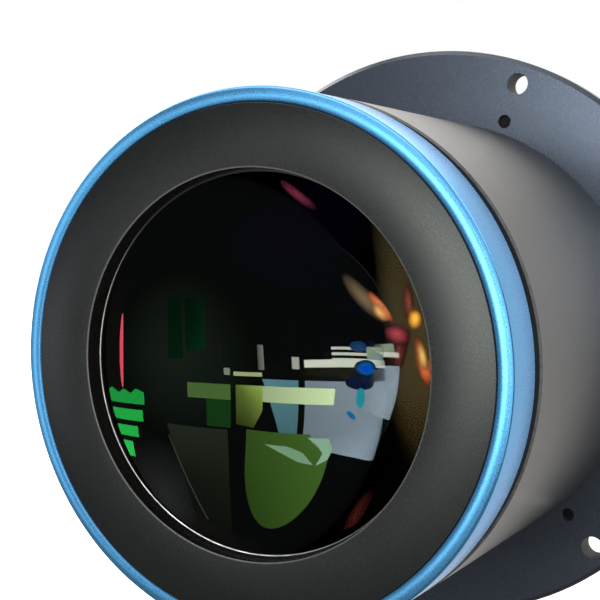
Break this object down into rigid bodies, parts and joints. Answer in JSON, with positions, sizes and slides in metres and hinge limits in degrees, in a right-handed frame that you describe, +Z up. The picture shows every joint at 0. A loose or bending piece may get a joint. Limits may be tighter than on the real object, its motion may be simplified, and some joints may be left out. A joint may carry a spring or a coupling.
{
  "type": "panoramic inspection lens",
  "caption": "Flanged inspection lens with a wide coated front glass in a blue-ringed barrel, a rear cone, focus and iris rings and a turning camera mount.",
  "frame": {"origin": "centre of the flange's through-hole circle, in the plane of its rear face", "axes": "+Y along the lens axis from the front glass to the camera mount, +Z up, +X to the right seen from the front"},
  "size_m": [0.13, 0.194, 0.13],
  "materials": {
    "front_black": "matte black anodised",
    "blue_anodised": "satin blue anodised",
    "edge_black": "satin black anodised",
    "barrel_grey": "satin dark anodised",
    "flange_grey": "satin dark anodised",
    "rear_black": "satin black anodised",
    "steel": "dark steel screws and pins",
    "blade_steel": "blackened spring steel",
    "coated_glass": "polished optical glass with thin coatings"
  },
  "bodies": {
    "lens_body": {"face_plate": "front_black", "trim_ring": "blue_anodised", "front_retainer": "edge_black", "front_lens": "coated_glass", "front_spacer": "rear_black", "meniscus_lens": "coated_glass", "rear_spacer": "rear_black", "crown_lens": "coated_glass", "flint_lens": "coated_glass", "main_barrel": "barrel_grey", "light_baffle": "rear_black", "mounting_flange": "flange_grey", "rear_cone": "rear_black", "cone_screws": "steel", "rear_tube": "rear_black", "neck_set_screws": "steel", "iris_keeper": "rear_black", "iris_plate": "rear_black", "field_lens": "coated_glass", "field_keeper": "rear_black"},
    "focus_grip": {"focus_ring": "rear_black"},
    "focus_lock": {"focus_lock_screw": "rear_black"},
    "focus_slider": {"focus_cell": "rear_black", "focus_pin": "steel", "relay_front_lens": "coated_glass", "relay_spacer": "rear_black", "relay_rear_lens": "coated_glass", "relay_keeper": "rear_black"},
    "iris_grip": {"iris_ring": "rear_black", "iris_disc": "rear_black", "iris_drive_pin": "steel"},
    "iris_lock": {"iris_lock_screw": "rear_black"},
    "turning_mount": {"camera_mount": "rear_black", "mount_set_screws": "steel"},
    "blade_1": {"iris_blade_1": "blade_steel"},
    "blade_2": {"iris_blade_2": "blade_steel"},
    "blade_3": {"iris_blade_3": "blade_steel"},
    "blade_4": {"iris_blade_4": "blade_steel"},
    "blade_5": {"iris_blade_5": "blade_steel"},
    "blade_6": {"iris_blade_6": "blade_steel"}
  },
  "joints": [
    {"name": "focus_turn", "type": "hinge", "parent": "lens_body", "child": "focus_grip", "pos_m": [0, 0.05992, 0], "axis": [0, 1, 0], "range_deg": [-45, 45]},
    {"name": "focus_slide", "type": "slide", "parent": "lens_body", "child": "focus_slider", "axis": [0, 1, 0], "range_m": [-0.00181, 0.00181]},
    {"name": "focus_lock_turn", "type": "hinge", "parent": "focus_grip", "child": "focus_lock", "pos_m": [0.02252, 0.0654, 0.013], "axis": [0.866, 0, 0.5], "range_deg": [0, 270]},
    {"name": "iris_turn", "type": "hinge", "parent": "lens_body", "child": "iris_grip", "pos_m": [0, 0.07792, 0], "axis": [0, 1, 0], "range_deg": [0, 40]},
    {"name": "iris_lock_turn", "type": "hinge", "parent": "iris_grip", "child": "iris_lock", "pos_m": [0.02462, 0.0763, -0.00434], "axis": [0.9848, 0, -0.1736], "range_deg": [0, 270]},
    {"name": "mount_turn", "type": "hinge", "parent": "lens_body", "child": "turning_mount", "pos_m": [0, 0.08993, 0], "axis": [0, 1, 0], "continuous": true},
    {"name": "blade_1_swing", "type": "hinge", "parent": "lens_body", "child": "blade_1", "pos_m": [0.0126, 0.07609, 0], "axis": [0, 1, 0], "range_deg": [-0.1, 25.1]},
    {"name": "blade_2_swing", "type": "hinge", "parent": "lens_body", "child": "blade_2", "pos_m": [0.0063, 0.07609, -0.01091], "axis": [0, 1, 0], "range_deg": [-0.1, 25.1]},
    {"name": "blade_3_swing", "type": "hinge", "parent": "lens_body", "child": "blade_3", "pos_m": [-0.0063, 0.07609, -0.01091], "axis": [0, 1, 0], "range_deg": [-0.1, 25.1]},
    {"name": "blade_4_swing", "type": "hinge", "parent": "lens_body", "child": "blade_4", "pos_m": [-0.0126, 0.07609, 0], "axis": [0, 1, 0], "range_deg": [-0.1, 25.1]},
    {"name": "blade_5_swing", "type": "hinge", "parent": "lens_body", "child": "blade_5", "pos_m": [-0.0063, 0.07609, 0.01091], "axis": [0, 1, 0], "range_deg": [-0.1, 25.1]},
    {"name": "blade_6_swing", "type": "hinge", "parent": "lens_body", "child": "blade_6", "pos_m": [0.0063, 0.07609, 0.01091], "axis": [0, 1, 0], "range_deg": [-0.1, 25.1]}
  ],
  "couplings": [
    {"joint": "focus_slide", "follows": "focus_turn", "m_per_rad": -0.0022918},
    {"joint": "blade_1_swing", "follows": "iris_turn", "ratio": 0.625},
    {"joint": "blade_2_swing", "follows": "iris_turn", "ratio": 0.625},
    {"joint": "blade_3_swing", "follows": "iris_turn", "ratio": 0.625},
    {"joint": "blade_4_swing", "follows": "iris_turn", "ratio": 0.625},
    {"joint": "blade_5_swing", "follows": "iris_turn", "ratio": 0.625},
    {"joint": "blade_6_swing", "follows": "iris_turn", "ratio": 0.625}
  ]
}
